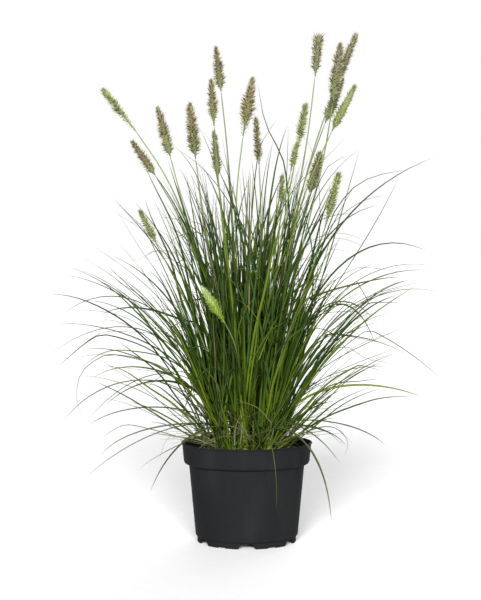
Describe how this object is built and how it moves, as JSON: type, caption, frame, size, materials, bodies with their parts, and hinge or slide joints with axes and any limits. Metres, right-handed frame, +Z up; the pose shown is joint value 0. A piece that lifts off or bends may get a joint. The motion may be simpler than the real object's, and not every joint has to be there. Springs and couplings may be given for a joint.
{
  "type": "potted fountain grass clump",
  "caption": "Dense clump of arching fountain grass with bottlebrush flower spikes on upright stems, growing in a round black nursery pot with a rim band and raised feet.",
  "frame": {"origin": "on the pot's axis, at the level of the floor that the pot stands on", "axes": "+Z up along the pot's axis, +X to the right as seen from the front, +Y away from the front"},
  "size_m": [0.5752, 0.571, 0.733],
  "materials": {
    "pot_plastic": "satin black injection-moulded polypropylene with a faint grain",
    "compost": "damp dark fibrous potting compost with bark chips",
    "stalk": "smooth green stalks with faint ribs and darker nodes",
    "green_bristle": "soft pale green bristles, whitish at the tip",
    "brown_bristle": "soft brown-green bristles with dark spikelets",
    "mauve_bristle": "soft grey-mauve bristles",
    "leaf": "narrow ribbed blades, yellow-green at the foot, dark bluish green along the middle, grey-green and drying at the tips"
  },
  "bodies": {
    "root": {"pot": "pot_plastic", "compost": "compost", "culm_01": "stalk", "culm_02": "stalk", "culm_03": "stalk", "culm_04": "stalk", "culm_05": "stalk", "culm_06": "stalk", "culm_07": "stalk", "culm_08": "stalk", "culm_09": "stalk", "culm_10": "stalk", "culm_11": "stalk", "culm_12": "stalk", "culm_13": "stalk", "culm_14": "stalk", "culm_15": "stalk", "culm_16": "stalk", "culm_17": "stalk", "culm_18": "stalk", "culm_19": "stalk", "culm_20": "stalk", "culm_21": "stalk", "spike_01": "green_bristle", "spike_02": "brown_bristle", "spike_03": "green_bristle", "spike_04": "brown_bristle", "spike_05": "brown_bristle", "spike_06": "brown_bristle", "spike_07": "brown_bristle", "spike_08": "brown_bristle", "spike_09": "brown_bristle", "spike_10": "brown_bristle", "spike_11": "mauve_bristle", "spike_12": "green_bristle", "spike_13": "green_bristle", "spike_14": "mauve_bristle", "spike_15": "mauve_bristle", "spike_16": "mauve_bristle", "spike_17": "green_bristle", "spike_18": "brown_bristle", "spike_19": "green_bristle", "spike_20": "green_bristle", "spike_21": "green_bristle", "tiller_01": "leaf", "tiller_02": "leaf", "tiller_03": "leaf", "tiller_04": "leaf", "tiller_05": "leaf", "tiller_06": "leaf", "tiller_07": "leaf", "tiller_08": "leaf", "tiller_09": "leaf", "tiller_10": "leaf", "tiller_11": "leaf", "tiller_12": "leaf", "tiller_13": "leaf", "tiller_14": "leaf", "tiller_15": "leaf", "tiller_16": "leaf"}
  },
  "joints": []
}
